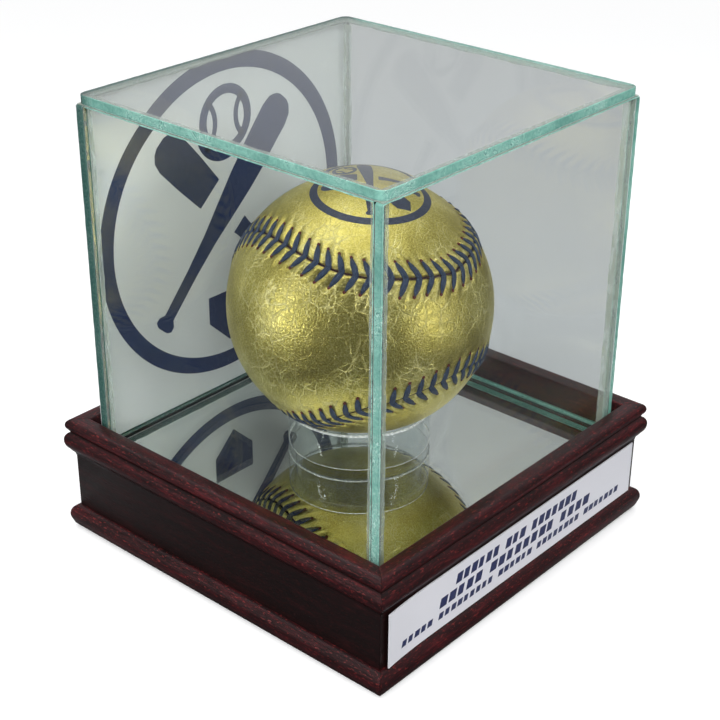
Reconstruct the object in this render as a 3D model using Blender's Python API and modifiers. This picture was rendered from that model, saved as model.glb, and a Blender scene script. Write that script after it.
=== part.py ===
"""Baseball display case: glass cover, moulded wood base with a mirror floor, clear ring stand, ball.

Units are metres and +Z is up. The origin is the centre of the square the case stands on,
the label is on the -Y side and the printed card is on the +Y side.
"""
import math

import bmesh
import bpy
from mathutils import Matrix, Vector

MM = 0.001
CLEAR = 0.3 * MM            # gap kept between pieces that touch

# Wood base
FOOT = 0.8 * MM             # how far the felt pads lift the wood
RAIL_TOP = FOOT + 35.0 * MM
RAIL_INNER = 54.0 * MM      # half width of the well inside the rails
FLAT_FACE = 57.5 * MM       # half width over the flat faces of the rails
FLAT_FOOT = FOOT + 6.4 * MM     # where the flat face starts above the bottom bead
FLAT_HEAD = FOOT + 23.2 * MM    # where it ends under the top beads
PANEL_HALF = RAIL_INNER - CLEAR
BOTTOM_PANEL = 3.0 * MM
BOTTOM_PANEL_UNDERSIDE = FOOT + 1.0 * MM
DECK = 6.0 * MM
PAD_RADIUS = 6.0 * MM
PAD_PLACE = 45.0 * MM
BLOCK_LEG = 14.0 * MM

# Mirror floor
MIRROR = 3.0 * MM
MIRROR_TOP = FOOT + 27.0 * MM
MIRROR_UNDERSIDE = MIRROR_TOP - MIRROR
DECK_UNDERSIDE = MIRROR_UNDERSIDE - CLEAR - DECK

# Glass cover
GLASS = 2.5 * MM
COVER_HALF = 52.0 * MM      # half width over the walls
PLATE_HALF = 51.7 * MM      # half width of the top plate
PLATE_CORNER = 2.5 * MM
COVER_TOP = FOOT + 130.5 * MM
WALL_FOOT = MIRROR_TOP + CLEAR
WALL_HEAD = COVER_TOP - GLASS - CLEAR
ARRIS = 0.3 * MM            # ground edge of the glass
BEAD_LEG = 2.0 * MM         # silicone fillet in the inside corners

# Printed paper pieces
CARD_THICKNESS = 0.35 * MM
CARD_HALF = COVER_HALF - 0.5 * MM
LABEL_WIDTH = 111.0 * MM
LABEL_FOOT = FLAT_FOOT + 0.2 * MM
LABEL_HEAD = FLAT_HEAD - 0.3 * MM
LABEL_THICKNESS = 0.35 * MM

# Ring stand
RING_OUTER = 19.5 * MM
RING_INNER = 17.4 * MM
RING_SEAT = 18.4 * MM       # radius of the edge the ball rests on
RING_SEAT_DROP = 0.6 * MM
RING_FOOT = MIRROR_TOP + CLEAR
RING_TOP = MIRROR_TOP + 11.5 * MM

# Ball
BALL_RADIUS = 36.0 * MM
LEATHER = 1.5 * MM
WINDING_RADIUS = BALL_RADIUS - LEATHER - CLEAR
CORE_RADIUS = 17.5 * MM
BALL_RISE = math.sqrt((BALL_RADIUS + CLEAR) ** 2 - RING_SEAT ** 2)  # of its centre over the seat
BALL_CENTRE = Vector((0.0, 0.0, RING_TOP + BALL_RISE))
BALL_TILT = math.radians(8.6)       # the front of the ball leans back by this much
SEAM_NECK = 0.395           # half angle between the seams at the narrow neck, radians
SEAM_SWING = 0.421          # how far the seam swings round the lobes, radians
SEAM_GROOVE = 1.6 * MM
SEAM_STEPS = 120
THREAD_RADIUS = 0.45 * MM
THREAD_PLACE = BALL_RADIUS - 0.55 * MM
YARN_HOLE = 1.0 * MM        # radius of the way in to the core, which keeps the winding open

SIDES = ("front", "right", "back", "left")
CORNERS = {
    "front_left": (-1, -1),
    "front_right": (1, -1),
    "back_right": (1, 1),
    "back_left": (-1, 1),
}

PAINTS = {
    "mahogany": ((0.035, 0.012, 0.012), 0.35, 0.0),
    "plywood": ((0.55, 0.42, 0.27), 0.7, 0.0),
    "hardboard": ((0.12, 0.07, 0.045), 0.8, 0.0),
    "felt": ((0.02, 0.02, 0.022), 0.95, 0.0),
    "mirror": ((0.85, 0.87, 0.86), 0.03, 1.0),
    "glass": ((0.72, 0.86, 0.82), 0.05, 0.0),
    "silicone": ((0.78, 0.8, 0.8), 0.3, 0.0),
    "card": ((0.6, 0.6, 0.6), 0.5, 0.0),
    "label": ((0.64, 0.64, 0.68), 0.5, 0.0),
    "acrylic": ((0.85, 0.87, 0.87), 0.05, 0.0),
    "gold_leather": ((0.62, 0.54, 0.16), 0.4, 0.6),
    "thread": ((0.035, 0.055, 0.1), 0.6, 0.0),
    "wool": ((0.5, 0.48, 0.45), 0.9, 0.0),
    "cork_rubber": ((0.3, 0.06, 0.04), 0.7, 0.0),
}


def clear_scene():
    for item in list(bpy.data.objects):
        bpy.data.objects.remove(item, do_unlink=True)


def make_collections():
    parts = bpy.data.collections.new("baseball_display_case")
    cutters = bpy.data.collections.new("cutters")
    for group in (parts, cutters):
        bpy.context.scene.collection.children.link(group)
    return parts, cutters


def paint(item, name):
    """Give the object the named Principled material, made on first use."""
    material = bpy.data.materials.get(name)
    if material is None:
        colour, roughness, metallic = PAINTS[name]
        material = bpy.data.materials.new(name)
        material.use_nodes = True
        shader = material.node_tree.nodes["Principled BSDF"]
        shader.inputs["Base Color"].default_value = (*colour, 1.0)
        shader.inputs["Roughness"].default_value = roughness
        shader.inputs["Metallic"].default_value = metallic
    item.data.materials.clear()
    item.data.materials.append(material)


def add_mesh(name, mesh, paint_name, parent=None, place=(0.0, 0.0, 0.0), turn=0.0):
    item = bpy.data.objects.new(name, mesh)
    PARTS.objects.link(item)
    item.location = place
    item.rotation_euler = (0.0, 0.0, turn)
    item.parent = parent
    paint(item, paint_name)
    return item


def add_empty(name, place, parent=None):
    """A frame for the pieces that move together; its origin lies on their joint's axis."""
    item = bpy.data.objects.new(name, None)
    PARTS.objects.link(item)
    item.location = place
    item.parent = parent
    return item


def box_mesh(name, low, high):
    """A box between two corners."""
    mesh = bpy.data.meshes.new(name)
    body = bmesh.new()
    bmesh.ops.create_cube(body, size=1.0)
    size = [b - a for a, b in zip(low, high)]
    middle = [(a + b) / 2 for a, b in zip(low, high)]
    bmesh.ops.scale(body, vec=size, verts=body.verts)
    bmesh.ops.translate(body, vec=middle, verts=body.verts)
    body.to_mesh(mesh)
    body.free()
    return mesh


def rod_mesh(name, radius, length, segments):
    """An upright cylinder round its own middle."""
    mesh = bpy.data.meshes.new(name)
    body = bmesh.new()
    bmesh.ops.create_cone(body, cap_ends=True, segments=segments,
                          radius1=radius, radius2=radius, depth=length)
    body.to_mesh(mesh)
    body.free()
    mesh.shade_smooth()
    mesh.set_sharp_from_angle(angle=math.radians(40.0))
    return mesh


def add_box(name, low, high, paint_name, parent=None, place=(0.0, 0.0, 0.0), turn=0.0):
    return add_mesh(name, box_mesh(name, low, high), paint_name, parent, place, turn)


def add_bevel(item, width, segments=1, angle=60.0):
    bevel = item.modifiers.new("edge", "BEVEL")
    bevel.width = width
    bevel.segments = segments
    bevel.limit_method = "ANGLE"
    bevel.angle_limit = math.radians(angle)


def outline_mesh(name, points, depth):
    """A closed flat outline in XY, extruded along Z from 0 to depth, as a plain mesh."""
    curve = bpy.data.curves.new(name, "CURVE")
    curve.dimensions = "2D"
    curve.fill_mode = "BOTH"
    curve.extrude = depth / 2
    spline = curve.splines.new("POLY")
    spline.points.add(len(points) - 1)
    for point, (x, y) in zip(spline.points, points):
        point.co = (x, y, 0.0, 1.0)
    spline.use_cyclic_u = True
    guide = bpy.data.objects.new(name, curve)
    CUTTERS.objects.link(guide)
    bpy.context.view_layer.update()
    worked = guide.evaluated_get(bpy.context.evaluated_depsgraph_get())
    mesh = bpy.data.meshes.new_from_object(worked)
    bpy.data.objects.remove(guide, do_unlink=True)
    body = bmesh.new()
    body.from_mesh(mesh)
    bmesh.ops.remove_doubles(body, verts=body.verts, dist=0.01 * MM)
    bmesh.ops.translate(body, vec=(0.0, 0.0, depth / 2), verts=body.verts)
    bmesh.ops.recalc_face_normals(body, faces=body.faces)
    body.to_mesh(mesh)
    body.free()
    return mesh


def arc(centre, radii, start, stop, steps):
    """Points on an ellipse, angles in degrees."""
    points = []
    for step in range(steps + 1):
        angle = math.radians(start + (stop - start) * step / steps)
        points.append((centre[0] + radii[0] * math.cos(angle), centre[1] + radii[1] * math.sin(angle)))
    return points


def rail_profile():
    """Section of the base moulding as (distance from the middle, height), from the inner foot round."""
    outline = [(54.0, 0.0), (59.2, 0.0)]
    outline += arc((57.4, 3.2), (2.5, 3.2), -25.0, 90.0, 9)
    outline += [(57.5, 23.2), (57.75, 24.0), (58.3, 24.6)]
    outline += arc((57.9, 28.2), (1.95, 3.2), -62.0, 0.0, 5)
    outline += arc((57.9, 28.2), (1.95, 2.6), 12.0, 60.0, 4)
    outline += [(58.35, 30.8)]
    outline += arc((57.5, 33.0), (1.9, 2.0), -50.0, 90.0, 9)
    outline += [(54.6, 34.9), (54.0, 34.4)]
    return [(out * MM, height * MM + FOOT) for out, height in outline]


def add_rails(parent):
    """Four moulded rails with mitred ends."""
    length = 4 * RAIL_INNER
    mesh = outline_mesh("rail", rail_profile(), length)
    body = bmesh.new()
    body.from_mesh(mesh)
    # The section's X becomes -Y, its Y becomes +Z and the length runs along X.
    along = Matrix(((0.0, 0.0, 1.0), (-1.0, 0.0, 0.0), (0.0, 1.0, 0.0))).to_4x4()
    along.translation = (-length / 2, 0.0, 0.0)
    bmesh.ops.transform(body, matrix=along, verts=body.verts)
    for side in (-1.0, 1.0):
        saw_point = (-side * CLEAR / math.sqrt(2), 0.0, 0.0)
        everything = body.verts[:] + body.edges[:] + body.faces[:]
        cut = bmesh.ops.bisect_plane(body, geom=everything, dist=1e-7, plane_co=saw_point,
                                     plane_no=(side, 1.0, 0.0), clear_outer=True)
        edges = [item for item in cut["geom_cut"] if isinstance(item, bmesh.types.BMEdge)]
        bmesh.ops.edgenet_fill(body, edges=edges)
    bmesh.ops.recalc_face_normals(body, faces=body.faces)
    body.to_mesh(mesh)
    body.free()
    for index, side in enumerate(SIDES):
        add_mesh("rail_" + side, mesh.copy(), "mahogany", parent, turn=index * math.pi / 2)


def add_base_inside(parent):
    """Deck under the mirror, bottom panel, glue blocks in the corners and felt pads."""
    add_box("deck_board", (-PANEL_HALF, -PANEL_HALF, 0.0), (PANEL_HALF, PANEL_HALF, DECK),
            "plywood", parent, (0.0, 0.0, DECK_UNDERSIDE))
    add_box("bottom_panel", (-PANEL_HALF, -PANEL_HALF, 0.0), (PANEL_HALF, PANEL_HALF, BOTTOM_PANEL),
            "hardboard", parent, (0.0, 0.0, BOTTOM_PANEL_UNDERSIDE))
    block_foot = BOTTOM_PANEL_UNDERSIDE + BOTTOM_PANEL + CLEAR
    block_height = DECK_UNDERSIDE - CLEAR - block_foot
    block = outline_mesh("corner_block", [(0.0, 0.0), (BLOCK_LEG, 0.0), (0.0, BLOCK_LEG)], block_height)
    pad_height = BOTTOM_PANEL_UNDERSIDE - CLEAR
    for index, (corner, (x, y)) in enumerate(CORNERS.items()):
        add_mesh("corner_block_" + corner, block.copy(), "plywood", parent,
                 (x * PANEL_HALF, y * PANEL_HALF, block_foot), index * math.pi / 2)
        add_mesh("felt_pad_" + corner, rod_mesh("felt_pad", PAD_RADIUS, pad_height, 32), "felt", parent,
                 (x * PAD_PLACE, y * PAD_PLACE, pad_height / 2))


def add_mirror_and_label(parent):
    mirror = add_box("mirror_plate", (-PANEL_HALF, -PANEL_HALF, 0.0), (PANEL_HALF, PANEL_HALF, MIRROR),
                     "mirror", parent, (0.0, 0.0, MIRROR_UNDERSIDE))
    add_bevel(mirror, ARRIS)
    face = FLAT_FACE + CLEAR
    add_box("label_card", (-LABEL_WIDTH / 2, -LABEL_THICKNESS, 0.0),
            (LABEL_WIDTH / 2, 0.0, LABEL_HEAD - LABEL_FOOT), "label", parent, (0.0, -face, LABEL_FOOT))


def add_panes(parent):
    """Four walls, the front and back ones over the full width, and the plate that lies on them."""
    height = WALL_HEAD - WALL_FOOT
    widths = {"front": COVER_HALF, "back": COVER_HALF,
              "left": COVER_HALF - GLASS - CLEAR, "right": COVER_HALF - GLASS - CLEAR}
    for index, side in enumerate(SIDES):
        half = widths[side]
        pane = add_box("pane_" + side, (-half, -COVER_HALF, 0.0), (half, GLASS - COVER_HALF, height),
                       "glass", parent, (0.0, 0.0, WALL_FOOT), index * math.pi / 2)
        add_bevel(pane, ARRIS)
    mesh = box_mesh("top_plate", (-PLATE_HALF, -PLATE_HALF, 0.0), (PLATE_HALF, PLATE_HALF, GLASS))
    body = bmesh.new()
    body.from_mesh(mesh)
    uprights = [edge for edge in body.edges if abs(edge.verts[0].co.z - edge.verts[1].co.z) > GLASS / 2]
    bmesh.ops.bevel(body, geom=uprights, offset=PLATE_CORNER, segments=4, profile=0.5, affect="EDGES")
    body.to_mesh(mesh)
    body.free()
    plate = add_mesh("top_plate", mesh, "glass", parent, (0.0, 0.0, COVER_TOP - GLASS))
    add_bevel(plate, ARRIS)


def fillet_section():
    """Section of a silicone bead in a corner at the origin: two legs and a hollow face."""
    hollow = arc((-BEAD_LEG, -BEAD_LEG), (BEAD_LEG * 0.86, BEAD_LEG * 0.86), 0.0, 90.0, 4)
    return [(0.0, 0.0), (-BEAD_LEG, 0.0)] + hollow[::-1] + [(0.0, -BEAD_LEG)]


def add_silicone(parent):
    """Beads up the four inside corners, and one square bead under the top plate."""
    inside = COVER_HALF - GLASS - CLEAR
    square_top = WALL_HEAD
    square_foot = square_top - BEAD_LEG
    bead = outline_mesh("silicone_corner", fillet_section(), square_foot - CLEAR - WALL_FOOT)
    turns = {"back_right": 0, "back_left": 1, "front_left": 2, "front_right": 3}
    for corner, (x, y) in CORNERS.items():
        add_mesh("silicone_" + corner, bead.copy(), "silicone", parent,
                 (x * inside, y * inside, WALL_FOOT), turns[corner] * math.pi / 2)
    # The square bead is a turned shape of four steps, so its section is stretched to the diagonal.
    section = [((inside + x) * math.sqrt(2), square_top + y) for x, y in fillet_section()]
    turned("silicone_top", section[::-1], 4, "silicone", parent, turn=math.pi / 4)


def turned(name, section, steps, paint_name, parent, place=(0.0, 0.0, 0.0), turn=0.0):
    """Turn a closed section of (radius, height) points round Z with a Screw modifier."""
    mesh = bpy.data.meshes.new(name)
    body = bmesh.new()
    corners = [body.verts.new((radius, 0.0, height)) for radius, height in section]
    for first, second in zip(corners, corners[1:] + corners[:1]):
        body.edges.new((first, second))
    body.to_mesh(mesh)
    body.free()
    item = add_mesh(name, mesh, paint_name, parent, place, turn)
    screw = item.modifiers.new("turn", "SCREW")
    screw.steps = steps
    screw.render_steps = steps
    screw.use_merge_vertices = True
    screw.merge_threshold = 0.05 * MM
    screw.use_smooth_shade = steps > 8
    return item


def add_ring(parent):
    """Clear ring the ball sits in, its top edge sloped to take the ball."""
    foot = RING_FOOT
    top = RING_TOP
    softened = 0.4 * MM
    section = [
        (RING_SEAT, top), (RING_OUTER - softened, top), (RING_OUTER, top - softened),
        (RING_OUTER, foot + softened), (RING_OUTER - softened, foot), (RING_INNER + softened, foot),
        (RING_INNER, foot + softened), (RING_INNER, top - RING_SEAT_DROP),
    ]
    turned("ball_ring", [(r, z - foot) for r, z in section], 72, "acrylic", parent,
           Vector((0.0, 0.0, foot)) - parent.location)


def ball_turn():
    """Turns the ball's own axes, whose Z runs from the front neck to the back one, into place."""
    upright = Matrix(((-1.0, 0.0, 0.0), (0.0, 0.0, 1.0), (0.0, 1.0, 0.0))).to_4x4()
    return Matrix.Rotation(-BALL_TILT, 4, "X") @ upright


def seam_point(step, radius):
    """Point on the closed stitched seam, which both leather panels share."""
    t = 4.0 * math.pi * step / SEAM_STEPS
    polar = math.pi / 2 - (math.pi / 2 - SEAM_NECK) * math.cos(t)
    swing = t / 2 + SEAM_SWING * math.sin(2 * t)
    reach = math.sin(polar)
    point = Vector((reach * math.cos(swing), reach * math.sin(swing), math.cos(polar)))
    return ball_turn() @ (point * radius)


def sphere_mesh(name, radius, segments):
    mesh = bpy.data.meshes.new(name)
    body = bmesh.new()
    bmesh.ops.create_uvsphere(body, u_segments=segments, v_segments=segments // 2, radius=radius)
    body.to_mesh(mesh)
    body.free()
    mesh.shade_smooth()
    return mesh


def add_cutter(name, mesh):
    item = bpy.data.objects.new(name, mesh)
    CUTTERS.objects.link(item)
    item.hide_render = True
    item.display_type = "WIRE"
    return item


def subtract(item, cutter):
    cut = item.modifiers.new(cutter.name, "BOOLEAN")
    cut.operation = "DIFFERENCE"
    cut.solver = "EXACT"
    cut.object = cutter


def seam_wall():
    """A thin wall that stands on the seam and reaches through the leather."""
    mesh = bpy.data.meshes.new("seam_wall")
    body = bmesh.new()
    inner = [body.verts.new(seam_point(step, BALL_RADIUS - 3 * LEATHER)) for step in range(SEAM_STEPS)]
    outer = [body.verts.new(seam_point(step, BALL_RADIUS + LEATHER)) for step in range(SEAM_STEPS)]
    for step in range(SEAM_STEPS):
        after = (step + 1) % SEAM_STEPS
        body.faces.new((inner[step], inner[after], outer[after], outer[step]))
    body.to_mesh(mesh)
    body.free()
    wall = add_cutter("seam_wall", mesh)
    solid = wall.modifiers.new("thickness", "SOLIDIFY")
    solid.thickness = SEAM_GROOVE
    solid.offset = 0.0
    return wall


def loose_bodies(mesh):
    """Split a mesh into its separate closed bodies, the one that reaches furthest to +Y first."""
    body = bmesh.new()
    body.from_mesh(mesh)
    groups = []
    left = set(body.verts)
    while left:
        stack = [left.pop()]
        group = set(stack)
        while stack:
            for edge in stack.pop().link_edges:
                for vert in edge.verts:
                    if vert in left:
                        left.remove(vert)
                        group.add(vert)
                        stack.append(vert)
        groups.append({vert.index for vert in group})
    body.free()
    meshes = []
    for group in groups:
        piece = bmesh.new()
        piece.from_mesh(mesh)
        others = [vert for vert in piece.verts if vert.index not in group]
        bmesh.ops.delete(piece, geom=others, context="VERTS")
        part = bpy.data.meshes.new(mesh.name)
        piece.to_mesh(part)
        piece.free()
        meshes.append(part)
    return sorted(meshes, key=lambda part: -sum(v.co.y for v in part.vertices) / len(part.vertices))


def add_ball_cover(parent):
    """Two figure-of-eight leather panels: a hollow sphere cut apart along the seam."""
    shell = add_cutter("leather_sphere", sphere_mesh("leather_sphere", BALL_RADIUS, 48))
    inside = add_cutter("leather_inside", sphere_mesh("leather_inside", BALL_RADIUS - LEATHER, 40))
    subtract(shell, inside)
    subtract(shell, seam_wall())
    bpy.context.view_layer.update()
    worked = shell.evaluated_get(bpy.context.evaluated_depsgraph_get())
    cut = bpy.data.meshes.new_from_object(worked)
    for side, mesh in zip(("back", "front"), loose_bodies(cut)):
        add_mesh("ball_cover_" + side, mesh, "gold_leather", parent)


def add_seam_thread(parent):
    """The closed run of thread that lies in the seam's groove."""
    curve = bpy.data.curves.new("ball_seam_thread", "CURVE")
    curve.dimensions = "3D"
    curve.bevel_depth = THREAD_RADIUS
    curve.bevel_resolution = 1
    spline = curve.splines.new("POLY")
    spline.points.add(SEAM_STEPS - 1)
    for step, point in enumerate(spline.points):
        point.co = (*seam_point(step, THREAD_PLACE), 1.0)
    spline.use_cyclic_u = True
    item = bpy.data.objects.new("ball_seam_thread", curve)
    PARTS.objects.link(item)
    item.parent = parent
    paint(item, "thread")


def add_ball_inside(parent):
    """Yarn winding round a cork and rubber core."""
    winding = add_mesh("ball_winding", sphere_mesh("ball_winding", WINDING_RADIUS, 32), "wool", parent)
    hollow = add_cutter("core_hollow", sphere_mesh("core_hollow", CORE_RADIUS + CLEAR, 24))
    way_in = add_cutter("yarn_end", rod_mesh("yarn_end", YARN_HOLE, 2 * WINDING_RADIUS, 12))
    centre = parent.matrix_world.translation
    hollow.location = centre
    way_in.location = centre - Vector((0.0, 0.0, WINDING_RADIUS))
    subtract(winding, hollow)
    subtract(winding, way_in)
    add_mesh("ball_core", sphere_mesh("ball_core", CORE_RADIUS, 24), "cork_rubber", parent)


def build():
    base = add_empty("base_frame", (0.0, 0.0, 0.0))
    add_rails(base)
    add_base_inside(base)
    add_mirror_and_label(base)
    cover = add_empty("cover_frame", (0.0, 0.0, 0.0), base)
    add_panes(cover)
    add_silicone(cover)
    card_face = COVER_HALF + CLEAR
    add_box("art_card", (-CARD_HALF, 0.0, 0.0),
            (CARD_HALF, CARD_THICKNESS, WALL_HEAD - WALL_FOOT - 2 * CLEAR), "card", cover,
            (0.0, card_face, WALL_FOOT + CLEAR))
    stand = add_empty("stand_frame", (0.0, 0.0, RING_FOOT), base)
    add_ring(stand)
    ball = add_empty("ball_frame", BALL_CENTRE - stand.location, stand)
    bpy.context.view_layer.update()
    add_ball_cover(ball)
    add_seam_thread(ball)
    add_ball_inside(ball)


clear_scene()
PARTS, CUTTERS = make_collections()
build()
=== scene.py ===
"""Baseball display case: the looks of the glass cover, moulded base, ring stand, ball and prints."""

import math

import bmesh
import bpy
import numpy as np
from bpy.props import FloatProperty, FloatVectorProperty, IntProperty, PointerProperty
from mathutils import Matrix, Vector


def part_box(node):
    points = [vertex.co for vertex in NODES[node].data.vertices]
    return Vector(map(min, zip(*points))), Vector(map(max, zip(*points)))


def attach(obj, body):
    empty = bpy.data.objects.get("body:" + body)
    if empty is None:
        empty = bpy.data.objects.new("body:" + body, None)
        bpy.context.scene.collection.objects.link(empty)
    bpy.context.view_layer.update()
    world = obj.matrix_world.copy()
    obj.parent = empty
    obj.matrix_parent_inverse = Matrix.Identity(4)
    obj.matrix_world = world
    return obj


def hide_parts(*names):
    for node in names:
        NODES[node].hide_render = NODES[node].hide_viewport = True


bl_info = {
    "name": "Baseball display case",
    "version": (1, 0, 0),
    "blender": (4, 5, 0),
    "location": "View3D > Sidebar > Display case",
    "description": "Makes the pieces of a glass display case with a stitched ball in it",
    "category": "Add Mesh",
}

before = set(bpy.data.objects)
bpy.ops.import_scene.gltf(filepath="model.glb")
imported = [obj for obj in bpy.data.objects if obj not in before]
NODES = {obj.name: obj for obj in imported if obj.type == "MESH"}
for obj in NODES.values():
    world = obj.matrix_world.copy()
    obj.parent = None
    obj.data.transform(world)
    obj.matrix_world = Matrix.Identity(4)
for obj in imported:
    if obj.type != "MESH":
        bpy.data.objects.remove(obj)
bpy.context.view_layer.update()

MM = 0.001
SIDES = ("front", "right", "back", "left")
# The corners, each with the signs of its x and y.
CORNERS = {"front_left": (-1, -1), "front_right": (1, -1), "back_right": (1, 1), "back_left": (-1, 1)}
GAP = 0.3 * MM  # left between pieces that touch
HIDDEN = 0.03 * MM  # how far sealant stands clear of the glass it wets
TOP_CORNER = 2.5 * MM  # corner radius of the top plate
RING_INNER = 17.4 * MM
RING_SEAT = 18.4 * MM  # radius of the circle the ball rests on
BALL_LOW, BALL_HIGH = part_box("ball_winding")
BALL_CENTRE = (BALL_LOW + BALL_HIGH) / 2
BALL_RADIUS = 36.0 * MM
SEAM_NECK = 0.395  # half angle between the seams at the narrow neck, radians
SEAM_SWING = 0.421  # how far the seam swings round the lobes, radians
SEAM_SAMPLES = 2160
BALL_TURN = (
    Matrix.Rotation(math.radians(-8.6), 3, "X") @ Matrix(((-1, 0, 0), (0, 0, 1), (0, 1, 0)))
)
PITCHES = 108  # double stitches on a regulation ball


# ---------------------------------------------------------------- nodes


def linear(code):
    """A sRGB hex colour as linear RGBA."""
    parts = [int(code[i:i + 2], 16) / 255 for i in (0, 2, 4)]
    return (*[c / 12.92 if c <= 0.04045 else ((c + 0.055) / 1.055) ** 2.4 for c in parts], 1.0)


class Value:
    """The output of a node. Sums of values and numbers become math nodes."""

    def __init__(self, graph, socket):
        self.graph, self.socket = graph, socket

    def __add__(self, other):
        return self.graph.maths("ADD", self, other)

    def __sub__(self, other):
        return self.graph.maths("SUBTRACT", self, other)

    def __rsub__(self, other):
        return self.graph.maths("SUBTRACT", other, self)

    def __mul__(self, other):
        return self.graph.maths("MULTIPLY", self, other)

    def __truediv__(self, other):
        return self.graph.maths("DIVIDE", self, other)


class Graph:
    """Adds nodes to a tree. Its methods give the output that is wanted as a Value."""

    def __init__(self, tree):
        self.tree = tree

    def put(self, kind, into=None, out=0, **settings):
        """Add a node: settings are its properties, into gives its inputs numbers or values."""
        made = self.tree.nodes.new(kind)
        for key, value in settings.items():
            setattr(made, key, value)
        for key, value in (into or {}).items():
            if isinstance(value, Value):
                self.tree.links.new(value.socket, made.inputs[key])
            else:
                made.inputs[key].default_value = value
        return Value(self, made.outputs[out]) if len(made.outputs) else None

    @property
    def place(self):
        return self.put("ShaderNodeTexCoord", out="Object")

    def path(self, out):
        return self.put("ShaderNodeLightPath", out=out)

    def attribute(self, name):
        return self.put("ShaderNodeAttribute", out="Fac", attribute_name=name)

    def maths(self, operation, *values):
        return self.put("ShaderNodeMath", dict(enumerate(values)), operation=operation)

    def vectors(self, operation, *values, out=0):
        return self.put("ShaderNodeVectorMath", dict(enumerate(values)), out, operation=operation)

    def mix(self, share, first, second):
        """Two colours mixed by a share."""
        return self.put("ShaderNodeMix", {0: share, 6: first, 7: second}, 2, data_type="RGBA")

    def blend(self, share, first, second):
        """Two shaders mixed by a share."""
        return self.put("ShaderNodeMixShader", {0: share, 1: first, 2: second})

    def remap(self, value, low, high, to_low=0.0, to_high=1.0):
        """A smooth step from to_low to to_high between two values."""
        return self.put("ShaderNodeMapRange", {0: value, 1: low, 2: high, 3: to_low, 4: to_high},
                        interpolation_type="SMOOTHSTEP")

    def noise(self, vector, size, detail=3.0, roughness=0.5, distortion=0.0, out=0):
        """Noise whose lumps are about size across, in metres of the vector given."""
        return self.put("ShaderNodeTexNoise", {"Vector": vector, "Scale": 1.0 / size, "Detail": detail,
                                               "Roughness": roughness, "Distortion": distortion}, out)

    def stretched(self, vector, scale, turn=(0.0, 0.0, 0.0)):
        return self.put("ShaderNodeMapping", {"Vector": vector, "Scale": scale, "Rotation": turn})

    def ramp(self, value, *stops):
        """A colour ramp with (place, sRGB hex) stops."""
        made = self.put("ShaderNodeValToRGB", {0: value})
        band = made.socket.node.color_ramp
        while len(band.elements) < len(stops):
            band.elements.new(0.5)
        for element, (place, code) in zip(band.elements, stops):
            element.position = place
            element.color = linear(code)
        return made

    def bump(self, height, distance, strength):
        return self.put("ShaderNodeBump", {"Height": height, "Distance": distance, "Strength": strength})

    def clear(self, code):
        return self.put("ShaderNodeBsdfTransparent", {0: linear(code)})

    def glow(self, colour, strength):
        return self.put("ShaderNodeEmission", {0: colour, 1: strength})

    def principled(self, **values):
        return self.put("ShaderNodeBsdfPrincipled", {
            key.replace("_", " ").title().replace("Ior", "IOR"): value for key, value in values.items()})


def finish(name, build, *values, shadow=None):
    """The material whose surface build(graph, *values) gives; a shadow colour lets lamps through it."""
    material = bpy.data.materials.get(name)
    if material:
        return material
    material = bpy.data.materials.new(name)
    material.use_nodes = True
    material.node_tree.nodes.clear()
    g = Graph(material.node_tree)
    surface = build(g, *values)
    if shadow:
        surface = g.blend(g.path("Is Shadow Ray"), surface, g.clear(shadow))
    g.put("ShaderNodeOutputMaterial", {"Surface": surface})
    return material


# ---------------------------------------------------------------- pieces


def piece(name, mesh, body, materials, replaces=()):
    """A finished object at the origin that rides on a body."""
    mesh.name = name
    item = bpy.data.objects.new(name, mesh)
    bpy.context.scene.collection.objects.link(item)
    for material in materials:
        mesh.materials.append(material)
    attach(item, body)
    if replaces:
        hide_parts(*replaces)
    return item


def repaint(name, material):
    """Give a CAD node its finish."""
    NODES[name].data.materials.clear()
    NODES[name].data.materials.append(material)


def to_mesh(body, smooth=None, recalc=True):
    """A mesh from bmesh; smooth is the angle over which edges stay sharp, in degrees."""
    if recalc:
        bmesh.ops.recalc_face_normals(body, faces=body.faces)
    mesh = bpy.data.meshes.new("mesh")
    body.to_mesh(mesh)
    body.free()
    if smooth is not None:
        mesh.shade_smooth()
        mesh.set_sharp_from_angle(angle=math.radians(smooth))
    return mesh


def swept_mesh(rows):
    """A closed body through rows of points: ends are capped unless the last row is the first."""
    body = bmesh.new()
    loop = rows[0] is rows[-1]
    rings = [[body.verts.new(point) for point in row] for row in (rows[:-1] if loop else rows)]
    for one, other in zip(rings, rings[1:] + rings[:1] if loop else rings[1:]):
        for k in range(len(one)):
            after = (k + 1) % len(one)
            body.faces.new((one[k], other[k], other[after], one[after]))
    if not loop:
        body.faces.new(rings[0])
        body.faces.new(rings[-1])
    return to_mesh(body, 30.0)


def around(vector, index):
    """A point of the front side turned to side index: front, right, back or left."""
    return Matrix.Rotation(index * math.pi / 2, 3, "Z") @ Vector(vector)


# ---------------------------------------------------------------- finishes


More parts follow.
